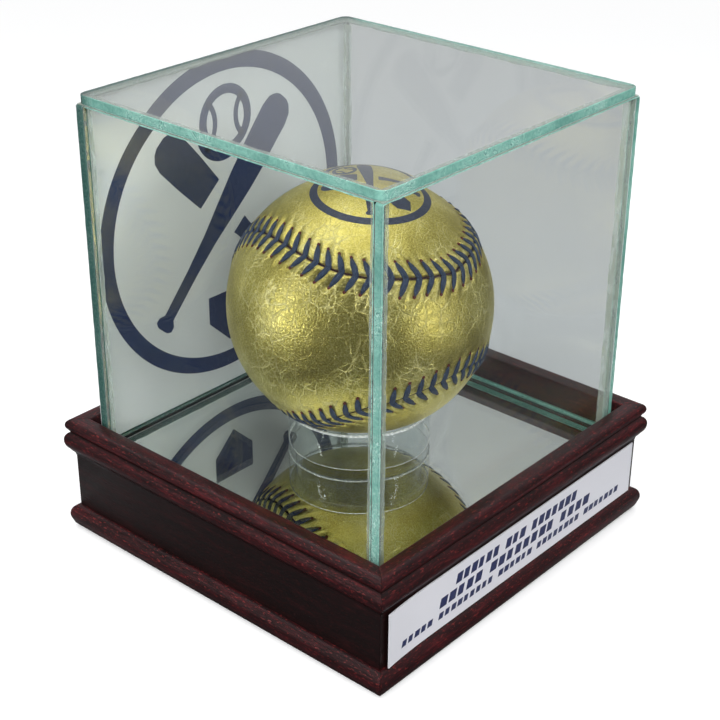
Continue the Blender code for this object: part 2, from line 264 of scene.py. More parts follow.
def mahogany(g):
    """Mahogany moulding, wiped with a dark red stain and sprayed with satin lacquer: long grain with
    short dark pores. The flat faces are painted darker as shade. The rounds are painted lighter and redder,
    with more light flecks, as a sheen."""
    along = g.put("ShaderNodeUVMap", uv_map="grain")

    def streaks(stretch, size, *character):
        return g.noise(g.stretched(along, (stretch, 1.0, 1.0)), size * MM, *character)

    figure = streaks(0.12, 2.6, 4.0, 0.55, 0.6)
    fibre = streaks(0.10, 0.42, 3.0, 0.6)
    pores = g.remap(streaks(0.16, 0.55, 2.0, 0.6, 0.3), 0.56, 0.66)
    flecks = g.remap(streaks(0.38, 0.48, 2.0, 0.6, 0.5), 0.58, 0.68)
    lit_rounds = g.attribute("round")
    stain = g.ramp(figure * 0.5 + fibre * 0.5,
                   (0.32, "110708"), (0.47, "200A0C"), (0.58, "3A1014"), (0.70, "601E22"))
    # Painted shade: the flat faces are mixed far toward near black, while the rounds keep the stain.
    colour = g.mix(lit_rounds, g.mix(0.78, stain, linear("110C0B")), stain)
    colour = g.mix(pores * 0.7, colour, linear("140809"))
    # Painted sheen: light flecks show much more on the rounds than on the flats.
    colour = g.mix(flecks * g.remap(lit_rounds, 0.0, 1.0, 0.06, 0.50), colour, linear("8A3432"))
    return g.principled(base_color=colour, roughness=g.remap(fibre, 0.3, 0.7, 0.34, 0.46),
                        normal=g.bump(fibre - pores, 0.05 * MM, 0.45), coat_weight=0.12,
                        coat_roughness=0.3, specular_ior_level=0.25)


def glass_face(g):
    """Float glass, 2.5 mm, faces as drawn: clear with a faint green cast."""
    return g.principled(base_color=linear("FBFDFC"), roughness=0.0, ior=1.52, transmission_weight=1.0)


def glass_edge(g):
    """The cut edge of float glass, ground by hand: teal from the light inside the sheet, with fine
    shell-shaped flakes. A painted dark shade line runs where the arris meets the cut, with a painted
    highlight line beside it, and the edges towards the back of the case are painted darker as shade.
    The across attribute runs from 0 to 1 over the thickness."""
    waves = g.noise(g.place, 3.4 * MM, 2.0, 0.55, 1.6)
    fine = g.noise(g.place, 0.8 * MM, 3.0, 0.6)
    patch = g.noise(g.place, 11 * MM, 2.0)
    level = g.attribute("across") + (waves - 0.5) * 0.35

    def line(value, at, width):
        """1 where the value passes a level, falling to 0 beside it."""
        return g.remap(g.maths("ABSOLUTE", value - at), 0.0, width, 1.0, 0.0)

    flaky = g.remap(patch, 0.44, 0.60, 0.15, 1.0) * 0.80
    dark = g.maths("MAXIMUM", line(waves, 0.50, 0.022), line(waves, 0.60, 0.016))
    light = g.maths("MAXIMUM", line(waves, 0.53, 0.018), line(waves, 0.43, 0.016))
    rear = g.put("ShaderNodeSeparateXYZ", {0: g.place}, 1)
    colour = g.ramp(patch * 0.6 + waves * 0.4, (0.36, "6FA79B"), (0.50, "86BFB1"), (0.64, "9CD2C4"))
    # Painted shade and highlight lines along the arris, and painted shade that darkens the edges towards the
    # back.
    for share, code in ((dark * flaky, "396C66"), (light * flaky, "D6F2EA"),
                        (line(level, 0.16, 0.05) * 0.55, "3F6F6C"), (line(level, 0.07, 0.04) * 0.5, "C9E2DC"),
                        (g.remap(rear, 44 * MM, 51 * MM, 0.0, 0.80), "1C3F3C")):
        colour = g.mix(share, colour, linear(code))
    normal = g.bump(waves + fine * 0.10, 0.35 * MM, 0.55)
    solid = g.principled(base_color=colour, roughness=g.remap(fine, 0.35, 0.65, 0.16, 0.34),
                         normal=normal, coat_weight=0.5, coat_roughness=0.08)
    return g.blend(0.25, solid, g.put("ShaderNodeBsdfTranslucent", {0: colour, 1: normal}))


def glass():
    """The finishes of a sheet of glass: its faces, then its edges."""
    return [finish("float_glass_clear", glass_face, shadow="FAFCFB"),
            finish("float_glass_ground_edge", glass_edge)]


def silicone(g):
    """Clear silicone sealant, cured and tooled: milky, soft sheen."""
    cloud = g.noise(g.stretched(g.place, (1.0, 1.0, 0.25)), 1.4 * MM)
    colour = g.mix(g.remap(cloud, 0.4, 0.62), linear("D3DAD6"), linear("AEB5A8"))
    cured = g.principled(base_color=colour, roughness=g.remap(cloud, 0.3, 0.7, 0.22, 0.40), ior=1.41,
                         normal=g.bump(cloud, 0.2 * MM, 0.6))
    return g.blend(g.remap(cloud, 0.35, 0.65, 0.22, 0.48), g.clear("F4F7F5"), cured)


def silvering(g):
    """Silvered back of a glass mirror, faintly green, with a few wiping marks."""
    smear = g.noise(g.stretched(g.place, (1.0, 0.3, 1.0), (0, 0, 0.6)), 9 * MM, 4.0)
    return g.principled(base_color=linear("F8FAF7"), metallic=1.0,
                        roughness=g.remap(smear, 0.45, 0.75, 0.0, 0.035))


def paper(g, code):
    """Printed card stock, smooth satin: off-white with a faint fibre."""
    fibres = g.noise(g.place, 0.35 * MM, 3.0, 0.6)
    cloud = g.noise(g.place, 14 * MM, 2.0)
    colour = g.mix(g.remap(cloud, 0.3, 0.7, 0.0, 0.04), linear(code), linear("A9ABB2"))
    return g.principled(base_color=colour, roughness=g.remap(fibres, 0.3, 0.7, 0.34, 0.5),
                        normal=g.bump(fibres, 0.02 * MM, 0.35))


def ink(g, code):
    """Navy printing ink, laid flat, a touch uneven in its cover."""
    cover = g.noise(g.place, 1.1 * MM, 4.0, 0.6)
    colour = g.mix(g.remap(cover, 0.4, 0.75, 0.0, 0.16), linear(code), linear("6B7690"))
    return g.principled(base_color=colour, roughness=g.remap(cover, 0.3, 0.7, 0.32, 0.46))


def acrylic(g):
    """Extruded acrylic tube, flame polished: water clear, so a thin wall only shows where it is seen
    edge on."""
    draw_marks = g.noise(g.stretched(g.place, (1.0, 1.0, 0.15)), 2 * MM)
    facing = g.put("ShaderNodeLayerWeight", {"Blend": 0.5}, "Facing")
    gloss = g.put("ShaderNodeBsdfGlossy", {"Color": linear("FFFFFF"),
                                           "Roughness": g.remap(draw_marks, 0.4, 0.7, 0.04, 0.12)})
    return g.blend(g.maths("POWER", facing, 5.0) * 0.70 + 0.04, g.clear("FAFCFC"), gloss)


def acrylic_rim(g):
    """Sawn and scraped end of the acrylic tube: bright, slightly frosted."""
    ticks = g.noise(g.place, 0.7 * MM, 2.0)
    frost = g.principled(base_color=linear("F2F5F5"), roughness=g.remap(ticks, 0.3, 0.7, 0.15, 0.35))
    return g.blend(g.remap(ticks, 0.35, 0.65, 0.45, 0.75), g.clear("F6F9F9"), frost)


def gold_leather(g):
    """Cowhide with a rolled metallic gold foil: pebbled and creased, paler and less metallic in the
    creases."""
    centred = g.put("ShaderNodeMapping", {"Vector": g.place, "Location": -BALL_CENTRE})
    warp = g.vectors("SUBTRACT", g.noise(centred, 6 * MM, 3.0, 0.55, out="Color"), (0.5, 0.5, 0.5))
    moved = g.vectors("MULTIPLY_ADD", warp, (3.2 * MM, 3.2 * MM, 3.2 * MM), centred)

    def creases(vector, size, width):
        """Lines between cells, 1 in the line and 0 away from it."""
        cells = g.put("ShaderNodeTexVoronoi", {"Vector": vector, "Scale": 1.0 / size},
                      feature="DISTANCE_TO_EDGE")
        return g.remap(cells, 0.0, width, 1.0, 0.0)

    long_lines = creases(g.stretched(moved, (1.0, 1.0, 0.55), (0.3, 0.5, 0.4)), 4.4 * MM, 0.034)
    short_lines = creases(g.stretched(moved, (0.7, 1.0, 1.1), (0.9, 0.2, 0.7)), 2.1 * MM, 0.055)
    pebble = creases(moved, 0.85 * MM, 0.35)
    grain = g.noise(centred, 0.42 * MM, 2.0, 0.6)
    patch = g.noise(centred, 13 * MM, 2.0)
    calm = g.remap(patch, 0.40, 0.60, 0.25, 1.0)
    height = grain * 0.34 - pebble * 0.26 - (long_lines * 0.50 + short_lines * 0.34) * calm
    crease = g.maths("MAXIMUM", long_lines * 0.8, short_lines * 0.5) * calm
    colour = g.ramp(grain * 0.6 + patch * 0.4, (0.34, "B0A04A"), (0.5, "D4C568"), (0.64, "EDE190"))
    return g.principled(base_color=g.mix(crease, colour, linear("F0E6A4")),
                        metallic=g.remap(crease, 0.0, 0.6, 1.0, 0.72),
                        roughness=g.remap(grain, 0.3, 0.7, 0.31, 0.42),
                        normal=g.bump(height, 0.28 * MM, 0.62))


def thread(g, code, light):
    """Waxed cotton thread, hand drawn: a few twisted strands with a painted highlight that makes them
    lighter on their ridges, dull shine. The strand attribute runs across the thread."""
    fuzz = g.noise(g.place, 0.30 * MM, 2.0, 0.6)
    ridge = g.maths("ABSOLUTE", g.maths("SINE", g.attribute("strand") * 19.0 + fuzz * 2.2))
    tone = ridge * 0.6 + fuzz * 0.4
    # Painted highlight: the colour turns to the light one along the strands' ridges.
    return g.principled(base_color=g.mix(g.remap(tone, 0.25, 0.85), linear(code), linear(light)),
                        roughness=g.remap(fuzz, 0.3, 0.7, 0.45, 0.65),
                        normal=g.bump(tone, 0.20 * MM, 0.8), sheen_weight=0.04, specular_ior_level=0.3)


def punched_hole(g):
    """Raw leather in the awl holes, painted dark red brown for the shade inside each hole."""
    flesh = g.noise(g.place, 0.3 * MM)
    return g.principled(base_color=g.mix(flesh, linear("2A0D0A"), linear("6E2A1C")),
                        roughness=g.remap(flesh, 0.3, 0.7, 0.6, 0.85))


def plain(g, low, high, size, rough, depth=0.2, scale=(1.0, 1.0, 1.0)):
    """A matt fibrous finish of two tones: size is its grain in millimetres."""
    grain = g.noise(g.stretched(g.place, scale), size * MM, 4.0, 0.6)
    return g.principled(base_color=g.mix(g.remap(grain, 0.35, 0.65), linear(low), linear(high)),
                        roughness=g.remap(grain, 0.3, 0.7, rough - 0.06, rough + 0.06),
                        normal=g.bump(grain, depth * MM, 0.6))


# ---------------------------------------------------------------- sizes a user would change


def length(name, description, millimetres, least=0.0):
    """A length a user can change, given in millimetres."""
    return FloatProperty(name=name, description=description, default=millimetres * MM, min=least * MM,
                         unit="LENGTH")


class CaseGlassSizes(bpy.types.PropertyGroup):
    """Glass cover"""
    arris: length("Arris", "Mean width of the ground arris", 0.18)
    arris_waver: length("Waver", "How far the arris wanders from its mean width", 0.07)
    nip_spacing: length("Nip spacing", "Length between nips along an edge", 1.7, 0.5)
    bead_wide: length("Bead width", "Sealant along the side walls", 2.4, 0.5)
    bead_slim: length("Bead depth", "Sealant along the front and back walls", 0.8, 0.2)


class CaseBaseSizes(bpy.types.PropertyGroup):
    """Wood base"""
    mitre_gap: length("Mitre gap", "Open joint between two rails", 0.06)
    label_curl: length("Label curl", "How far the label's free end lifts", 0.7)


class CasePrintSizes(bpy.types.PropertyGroup):
    """Printed emblem"""
    card_radius: length("Card emblem", "Outer radius of the ring on the card", 47.5)
    ball_radius: length("Ball emblem", "Outer radius of the ring on the ball", 15.8)
    ink_height: length("Ink", "How far the ink stands on its ground", 0.03)


class CaseBallSizes(bpy.types.PropertyGroup):
    """Stitched ball"""
    stitches: IntProperty(name="Stitches", description="Double stitches round the seam", default=PITCHES,
                          min=8)
    stitch_reach: length("Stitch length", "Length of one arm of a stitch", 5.0)
    stitch_width: length("Thread width", "Width of the laid thread", 1.75)
    lean: FloatProperty(name="Lean", description="Angle between a stitch and the seam",
                        default=math.radians(64.0), subtype="ANGLE")
    pucker: length("Pucker", "How far the leather rises between stitches", 0.34)


class CaseStageSizes(bpy.types.PropertyGroup):
    """Floor and camera"""
    eye: FloatVectorProperty(name="Eye", description="Where the camera stands", size=3, unit="LENGTH",
                             default=(-0.29212, -0.25467, 0.25375))
    target: FloatVectorProperty(name="Target", description="Where the camera looks", size=3, unit="LENGTH",
                                default=(0.00028, 0.0, 0.05223))
    roll: FloatProperty(name="Roll", description="Turn of the camera round its own axis",
                        default=math.radians(0.39), subtype="ANGLE")
    lens: FloatProperty(name="Lens", description="Focal length in millimetres", default=77.3)
    floor_colour: FloatVectorProperty(name="Floor", description="Colour of the floor", size=4,
                                      subtype="COLOR", default=linear("FBFBFB"))


GROUPS = {
    "case_glass": CaseGlassSizes,
    "case_base": CaseBaseSizes,
    "case_print": CasePrintSizes,
    "case_ball": CaseBallSizes,
    "case_stage": CaseStageSizes,
}


# ---------------------------------------------------------------- base


def arc(centre, radii, start, stop, steps):
    """Points on an ellipse, angles in degrees."""
    turns = [math.radians(start + (stop - start) * k / steps) for k in range(steps + 1)]
    return [(centre[0] + radii[0] * math.cos(a), centre[1] + radii[1] * math.sin(a)) for a in turns]


def rail_section():
    """Section of the moulding as (distance from the middle, height over the foot, roundness) in mm."""
    runs = (
        (0.0, [(54.0, 0.0), (59.0, 0.0)]),
        (1.0, arc((57.4, 3.2), (2.5, 3.2), -25.0, 90.0, 18)),
        (0.0, [(57.5, 6.7), (57.5, 23.0), (57.75, 24.0), (58.3, 24.6)]),
        (1.0, arc((57.9, 28.2), (1.95, 3.2), -62.0, 0.0, 9)),
        (1.0, arc((57.9, 28.2), (1.95, 2.6), 10.0, 60.0, 8)),
        (0.0, [(58.35, 30.8)]),
        (1.0, arc((57.5, 33.0), (1.9, 2.0), -50.0, 90.0, 18)),
        (1.0, [(54.6, 34.9), (54.2, 34.7), (54.0, 34.3)]),
    )
    return [(*point, roundness) for roundness, points in runs for point in points]


def rail_mesh(index, foot, mitre_gap):
    """One mitred rail of the base, with its grain along it in the grain UV map."""
    section = rail_section()
    body = bmesh.new()
    grain = body.loops.layers.uv.new("grain")
    length = [0.0]
    for (a, b, _), (c, d, _) in zip(section, section[1:] + section[:1]):
        length.append(length[-1] + math.hypot(c - a, d - b) * MM)
    steps = 24
    rows = []
    for out, height, _ in section:
        reach = out * MM - mitre_gap
        spots = [((2 * k / steps - 1) * reach, -out * MM, height * MM + foot) for k in range(steps + 1)]
        rows.append([body.verts.new(around(spot, index)) for spot in spots])
    for k, (first, second) in enumerate(zip(rows, rows[1:] + rows[:1])):
        outs = (section[k][0] * MM, section[(k + 1) % len(section)][0] * MM)
        for step in range(steps):
            face = body.faces.new((first[step], first[step + 1], second[step + 1], second[step]))
            places = ((outs[0], step, k), (outs[0], step + 1, k),
                      (outs[1], step + 1, k + 1), (outs[1], step, k + 1))
            for loop, (out, at, row) in zip(face.loops, places):
                loop[grain].uv = ((2 * at / steps - 1) * out + index * 0.37, length[row])
    for end in (0, steps):
        face = body.faces.new([row[end] for row in rows])
        for loop, (out, height, _) in zip(face.loops, section):
            loop[grain].uv = (out * MM, height * MM)
    mesh = to_mesh(body, 38.0)
    attribute = mesh.attributes.new("round", "FLOAT", "POINT")
    attribute.data.foreach_set("value", [kind for _, _, kind in section for _ in range(steps + 1)])
    return mesh


class CASE_OT_rails(bpy.types.Operator):
    """Mitred mahogany rails of the base"""
    bl_idname = "case.rails"
    bl_label = "Rails"

    def execute(self, context):
        sizes = context.scene.case_base
        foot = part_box("rail_front")[0].z
        wood = finish("mahogany_stained_satin_lacquer", mahogany)
        for index, side in enumerate(SIDES):
            mesh = rail_mesh(index, foot, sizes.mitre_gap)
            piece("moulding_" + side, mesh, "base", [wood], ["rail_" + side])
        return {"FINISHED"}


class CASE_OT_base_inside(bpy.types.Operator):
    """Finishes for the deck, bottom panel, glue blocks and felt pads"""
    bl_idname = "case.base_inside"
    bl_label = "Base inside"

    def execute(self, context):
        ply = finish("birch_plywood_sanded", plain, "B08A5C", "C9A679", 1.2, 0.7, 0.1, (0.1, 1.0, 1.0))
        repaint("deck_board", ply)
        repaint("bottom_panel", finish("hardboard_smooth_face", plain, "4A3122", "5E402D", 0.6, 0.75, 0.05))
        felt = finish("wool_felt_black", plain, "0E0E10", "26262A", 0.35, 0.95, 0.3)
        for corner in CORNERS:
            repaint("corner_block_" + corner, ply)
            repaint("felt_pad_" + corner, felt)
        return {"FINISHED"}


class CASE_OT_mirror(bpy.types.Operator):
    """Mirror floor: a glass sheet silvered underneath"""
    bl_idname = "case.mirror"
    bl_label = "Mirror"

    def execute(self, context):
        mesh = sheet_mesh(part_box("mirror_plate"), 0.3 * MM, 0.0, 4 * MM, 7)
        for face in mesh.polygons:
            if face.normal.z < -0.99:
                face.material_index = 2
        piece("mirror_sheet", mesh, "base", [*glass(), finish("mirror_silvering", silvering)],
              ["mirror_plate"])
        return {"FINISHED"}


# For each row: height of its middle, height of the blocks, its length and the blocks in each word. The
# heights are shares of the label's height and the length is one of its width.
LABEL_ROWS = ((0.240, 0.180, 0.50, (6, 3, 7)), (-0.020, 0.180, 0.62, (5, 8, 4)),
              (-0.260, 0.115, 0.90, (5, 9, 6, 8, 7)))
LABEL_PITCH = 1.34  # from one block to the next, in block widths
LABEL_SLANT = 0.26  # how far a block leans, in its heights


def label_rows(width, height):
    """Slanted blocks that stand for three rows of print, as strips from the label's middle."""
    strips = []
    draw = np.random.default_rng(4)
    for middle, tall, long, words in LABEL_ROWS:
        tall *= height
        middle *= height
        letter = long * width / (LABEL_PITCH * sum(words) + len(words) - 1)
        x = -long * width / 2
        for word in words:
            for _ in range(word):
                wide = letter * (0.80 + 0.26 * draw.random())
                strips.append(([(x, middle), (x + wide, middle)], [tall / 2, tall / 2], False, LABEL_SLANT))
                x += letter * LABEL_PITCH
            x += letter
    return strips


def strips_mesh(strips, place, rise, across=1):
    """Closed thin bodies for flat strips: (centre points, half widths, closed, slant), put in place by
    place(u, v, height)."""
    body = bmesh.new()
    for points, halves, closed, slant in strips:
        count = len(points)
        sections = []
        for k, (u, v) in enumerate(points):
            before = points[k - 1] if k or closed else points[k]
            after = points[(k + 1) % count] if k < count - 1 or closed else points[k]
            along = Vector((after[0] - before[0], after[1] - before[1])).normalized()
            side = Vector((-along.y, along.x))
            if slant is not None:
                side = Vector((slant, 1.0))
            shares = [halves[k] * (2 * m / across - 1) for m in range(across + 1)]
            sections.append([[body.verts.new(place(u + side.x * share, v + side.y * share, height))
                              for share in shares] for height in (0.0, rise)])
        spans = list(zip(sections, sections[1:]))
        if closed:
            spans.append((sections[-1], sections[0]))
        for first, second in spans:
            for m in range(across):
                for layer in (0, 1):
                    body.faces.new((first[layer][m], first[layer][m + 1], second[layer][m + 1],
                                    second[layer][m]))
            for m in (0, across):
                body.faces.new((first[0][m], second[0][m], second[1][m], first[1][m]))
        if not closed:
            for low, high in (sections[0], sections[-1]):
                for m in range(across):
                    body.faces.new((low[m], low[m + 1], high[m + 1], high[m]))
    return body


class CASE_OT_label(bpy.types.Operator):
    """Front label: a card strip with three rows of blocks for print"""
    bl_idname = "case.label"
    bl_label = "Label"

    def execute(self, context):
        sizes = context.scene.case_base
        low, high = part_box("label_card")
        middle = (low + high) / 2
        thickness = high.y - low.y
        curled = 16 * MM  # length of the end that lifts

        def lift(x):
            """How far the card stands off the wood: its free end curls away."""
            end = max(0.0, min(1.0, (low.x + curled - x) / curled))
            return sizes.label_curl * end ** 2.2

        def place(u, v, height):
            return Vector((middle.x + u, low.y - height - lift(middle.x + u), middle.z + v))

        half = (high.z - low.z) / 2
        steps = 40
        spine = [(low.x - middle.x + (high.x - low.x) * k / steps, 0.0) for k in range(steps + 1)]
        body = strips_mesh([(spine, [half] * (steps + 1), False, None)],
                           lambda u, v, h: place(u, v, h - thickness), thickness, 4)
        piece("label_sheet", to_mesh(body, 40.0), "base", [finish("label_card_satin", paper, "DEDEE4")],
              ["label_card"])
        rise = context.scene.case_print.ink_height
        body = strips_mesh(label_rows(high.x - low.x, high.z - low.z), place, rise)
        piece("label_print", to_mesh(body), "base", [finish("navy_label_ink", ink, "2B3157")])
        return {"FINISHED"}


# ---------------------------------------------------------------- glass cover


def sheet_mesh(box, arris, waver, spacing, seed, corner=0.0):
    """A sheet of glass that fills a box, with its edges ground to an uneven arris. Faces use material 0
    and edges material 1."""
    low, high = box
    size = high - low
    flat = min(range(3), key=lambda k: size[k])
    first, second = [k for k in range(3) if k != flat]
    draw = np.random.default_rng(seed)
    path = []
    spans = (size[first], size[second])
    inset = max(corner, 3 * arris)
    corners = ((0, 0), (1, 0), (1, 1), (0, 1))
    for k in range(4):
        start, stop = corners[k], corners[(k + 1) % 4]
        a = Vector((start[0] * spans[0], start[1] * spans[1]))
        b = Vector((stop[0] * spans[0], stop[1] * spans[1]))
        along = (b - a).normalized()
        inward = Vector((-along.y, along.x))
        count = max(2, round(((b - a).length - 2 * inset) / spacing))
        for step in range(count + 1):
            at = a + along * (inset + ((b - a).length - 2 * inset) * step / count)
            path.append((at, inward))
        if corner:
            centre = b - along * corner + inward * corner
            for step in range(1, 5):
                turn = Matrix.Rotation(math.pi / 2 * step / 5, 2)
                path.append((centre + turn @ (-inward * corner), turn @ inward))
        else:
            path.append((b + (inward - along) * inset * 0.3, (inward - along).normalized()))
    body = bmesh.new()

    def point(at, depth):
        values = [0.0, 0.0, 0.0]
        values[first] = low[first] + at.x
        values[second] = low[second] + at.y
        values[flat] = low[flat] + depth
        return Vector(values)

    thick = size[flat]
    wander = {}
    for side in (0, 1):
        raw = draw.random(len(path))
        nips = (draw.random(len(path)) > 0.93) * waver * 1.3
        wander[side] = arris + waver * (raw - 0.5) * 2 + nips
        wander[side] = np.clip(wander[side], arris * 0.3, thick * 0.42)
    loops = []
    for side, depth, cut in ((0, 0.0, True), (0, 0.0, False), (1, thick, False), (1, thick, True)):
        sign = 1 if side == 0 else -1
        loop = []
        for k, (at, inward) in enumerate(path):
            width = float(wander[side][k])
            if cut:
                loop.append(body.verts.new(point(at + inward * width, depth)))
            else:
                loop.append(body.verts.new(point(at, depth + sign * width * 0.8)))
        loops.append(loop)
    count = len(path)
    for one, other in zip(loops, loops[1:]):
        for k in range(count):
            after = (k + 1) % count
            face = body.faces.new((one[k], one[after], other[after], other[k]))
            face.material_index = 1
    for loop in (loops[0], loops[-1]):
        body.faces.new(loop)
    mesh = to_mesh(body)
    across = mesh.attributes.new("across", "FLOAT", "POINT")
    across.data.foreach_set("value", [(v.co[flat] - low[flat]) / thick for v in mesh.vertices])
    return mesh


class CASE_OT_panes(bpy.types.Operator):
    """Four glass walls and the top plate with hand ground edges"""
    bl_idname = "case.panes"
    bl_label = "Glass cover"

    def execute(self, context):
        sizes = context.scene.case_glass
        names = ["pane_" + side for side in SIDES] + ["top_plate"]
        for seed, name in enumerate(names):
            corner = TOP_CORNER if name == "top_plate" else 0.0
            mesh = sheet_mesh(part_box(name), sizes.arris, sizes.arris_waver, sizes.nip_spacing,
                              seed + 11, corner)
            if name in ("pane_left", "pane_right"):
                for face in mesh.polygons:
                    if abs(face.normal.y) > 0.9:
                        face.material_index = 0
            piece(name.replace("pane_", "wall_glass_").replace("top_plate", "top_glass"), mesh, "cover",
                  glass(), [name])
        return {"FINISHED"}


class CASE_OT_silicone(bpy.types.Operator):
    """Clear beads of sealant up the inside corners and under the top plate"""
    bl_idname = "case.silicone"
    bl_label = "Silicone"

    def execute(self, context):
        sizes = context.scene.case_glass
        draw = np.random.default_rng(21)
        low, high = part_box("pane_right")
        wall, outside, end = low.x - HIDDEN, high.x - GAP, high.y + HIDDEN
        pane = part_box("pane_back")[0].y
        sealant = [finish("silicone_sealant_clear", silicone, shadow="DDE3E1")]
        steps = 60
        for corner, (x_sign, y_sign) in CORNERS.items():
            drift = np.convolve(draw.random(steps + 5), np.ones(5) / 5, "valid")
            wide = sizes.bead_wide * (0.85 + 0.3 * drift)
            slim = sizes.bead_slim * (0.8 + 0.4 * draw.random(steps + 1))
            rows = []
            for k in range(steps + 1):
                z = low.z + (high.z - low.z - 0.9 * MM) * k / steps
                section = [(outside, pane - HIDDEN), (outside, end), (wall, end), (wall, pane - wide[k]),
                           (low.x - slim[k] * 0.45, pane - wide[k] * 0.40),
                           (low.x - slim[k], pane - HIDDEN)]
                rows.append([(x_sign * x, y_sign * y, z) for x, y in section])
            piece("bead_" + corner, swept_mesh(rows), "cover", sealant, ["silicone_" + corner])
        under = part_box("top_plate")[0].z - HIDDEN
        head = high.z + HIDDEN
        rows = []
        side_steps = 30
        for index in range(4):
            for k in range(side_steps):
                leg = sizes.bead_slim * (0.7 + 0.5 * draw.random())
                section = [(outside, under), (outside, head), (wall, head), (wall, under - leg),
                           (low.x - leg, under)]
                share = 2 * k / side_steps - 1
                rows.append([around((share * out, -out, z), index) for out, z in section])
        rows.append(rows[0])
        piece("bead_top", swept_mesh(rows), "cover", sealant, ["silicone_top"])
        return {"FINISHED"}


# ---------------------------------------------------------------- prints


def emblem_strips(stroke):
    """Crossed bats over a ball and a home plate inside a ring of a given half stroke, in units of the
    ring's outer radius."""
    def circle(height, radius, half, count):
        return arc((0.0, height), (radius, radius), 0.0, 360.0, count)[:-1], [half] * count, True, None

    strips = [circle(0.0, 1.0 - stroke, stroke, 120)]
    knob, tip = Vector((-0.56, -0.56)), Vector((0.50, 0.62))
    widths = ((0.0, 0.042), (0.012, 0.075), (0.035, 0.075), (0.055, 0.042), (0.25, 0.046), (0.40, 0.060),
              (0.52, 0.084), (0.66, 0.110), (0.80, 0.124), (0.92, 0.128), (0.965, 0.112), (0.99, 0.074),
              (1.0, 0.036))

    def bat(start, stop, mirror):
        """The part of a bat between two shares of its length."""
        places = [start] + [t for t, _ in widths if start < t < stop] + [stop]
        axis = [knob + (tip - knob) * t for t in places]
        return [(mirror * p.x, p.y) for p in axis], np.interp(places, *zip(*widths)).tolist(), False, None

    strips += [bat(0.0, 1.0, 1), bat(0.0, 0.42, -1), bat(0.645, 1.0, -1)]
    strips.append(circle(0.60, 0.185, 0.030, 48))
    for side in (-1, 1):
        bend = [(side * (0.245 - 0.16 * math.cos(a)), 0.60 + 0.17 * math.sin(a))
                for a in np.linspace(-0.85, 0.85, 9)]
        strips.append((bend, [0.018] * 9, False, None))
    plate = [(0.0, -0.82), (0.0, -0.81), (0.0, -0.66), (0.0, -0.48)]
    strips.append((plate, [0.004, 0.014, 0.17, 0.17], False, None))
    return strips


class CASE_OT_card(bpy.types.Operator):
    """Card behind the back wall, printed with the emblem"""
    bl_idname = "case.card"
    bl_label = "Art card"

    def execute(self, context):
        sizes = context.scene.case_print
        repaint("art_card", finish("art_card_satin", paper, "F0F0F2"))
        low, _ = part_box("art_card")
        centre = Vector((0.0, low.y, 81.5 * MM))
        radius = sizes.card_radius

        def place(u, v, height):
            return centre + Vector((u * radius, -height, v * radius))

        body = strips_mesh(emblem_strips(0.052), place, sizes.ink_height)
        piece("art_print", to_mesh(body), "cover", [finish("navy_card_ink", ink, "182B57")])
        return {"FINISHED"}


class CASE_OT_ball_mark(bpy.types.Operator):
    """Emblem printed on the crown of the ball"""
    bl_idname = "case.ball_mark"
    bl_label = "Ball emblem"

    def execute(self, context):
        sizes = context.scene.case_print
        crown = Vector((-0.02, -0.12, 0.99)).normalized()
        right = Vector((1.0, 0.0, 0.0))
        right = (right - crown * right.dot(crown)).normalized()
        up = crown.cross(right)
        scale = sizes.ball_radius / BALL_RADIUS

        def place(u, v, height):
            angle = math.hypot(u, v) * scale
            if angle < 1e-9:
                return BALL_CENTRE + crown * (BALL_RADIUS + height)
            out = (right * u + up * v).normalized()
            return BALL_CENTRE + (crown * math.cos(angle) + out * math.sin(angle)) * (BALL_RADIUS + height)

        strips = []
        for points, halves, closed, slant in emblem_strips(0.070):
            fine_points, fine_halves = [], []
            spans = list(zip(points, points[1:] + points[:1], halves, halves[1:] + halves[:1]))
            for a, b, h, i in (spans if closed else spans[:-1]):
                parts = max(1, round(math.dist(a, b) / 0.06))
                for k in range(parts):
                    t = k / parts
                    fine_points.append((a[0] + (b[0] - a[0]) * t, a[1] + (b[1] - a[1]) * t))
                    fine_halves.append(h + (i - h) * t)
            if not closed:
                fine_points.append(points[-1])
                fine_halves.append(halves[-1])
            strips.append((fine_points, fine_halves, closed, slant))
        body = strips_mesh(strips, lambda u, v, h: place(u, v, h - 0.05 * MM), 0.09 * MM, 4)
        piece("ball_print", to_mesh(body, 40.0), "ball", [finish("navy_foil_ink", ink, "1A2236")])
        return {"FINISHED"}


# ---------------------------------------------------------------- stand and ball


class CASE_OT_ring(bpy.types.Operator):
    """Clear ring that carries the ball"""
    bl_idname = "case.ring"
    bl_label = "Ring stand"

    def execute(self, context):
        low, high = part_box("ball_ring")
        outer, inner, foot, top = high.x, RING_INNER, low.z, high.z
        soft = 0.5 * MM  # size of the softened edges
        corner = 0.3 * soft
        section = [(RING_SEAT, top), (outer - soft, top), (outer - corner, top - corner), (outer, top - soft),
                   (outer, foot + soft), (outer - corner, foot + corner), (outer - soft, foot),
                   (inner + soft, foot), (inner + corner, foot + corner), (inner, foot + soft),
                   (inner, top - 0.65 * MM)]
        steps = 160
        rows = []
        for k in range(steps):
            a = 2 * math.pi * k / steps
            rows.append([(r * math.cos(a), r * math.sin(a), z) for r, z in section])
        mesh = swept_mesh(rows + rows[:1])
        for face in mesh.polygons:
            if 0.3 < abs(face.normal.z) < 0.97 and face.center.xy.length > 0.5 * (inner + outer):
                face.material_index = 1
        finishes = [finish("acrylic_tube_polished", acrylic, shadow="F4F8F8"),
                    finish("acrylic_cut_end", acrylic_rim, shadow="EEF4F4")]
        piece("ring_clear", mesh, "stand", finishes, ["ball_ring"])
        return {"FINISHED"}


def unit(vectors):
    return vectors / np.linalg.norm(vectors, axis=1, keepdims=True)


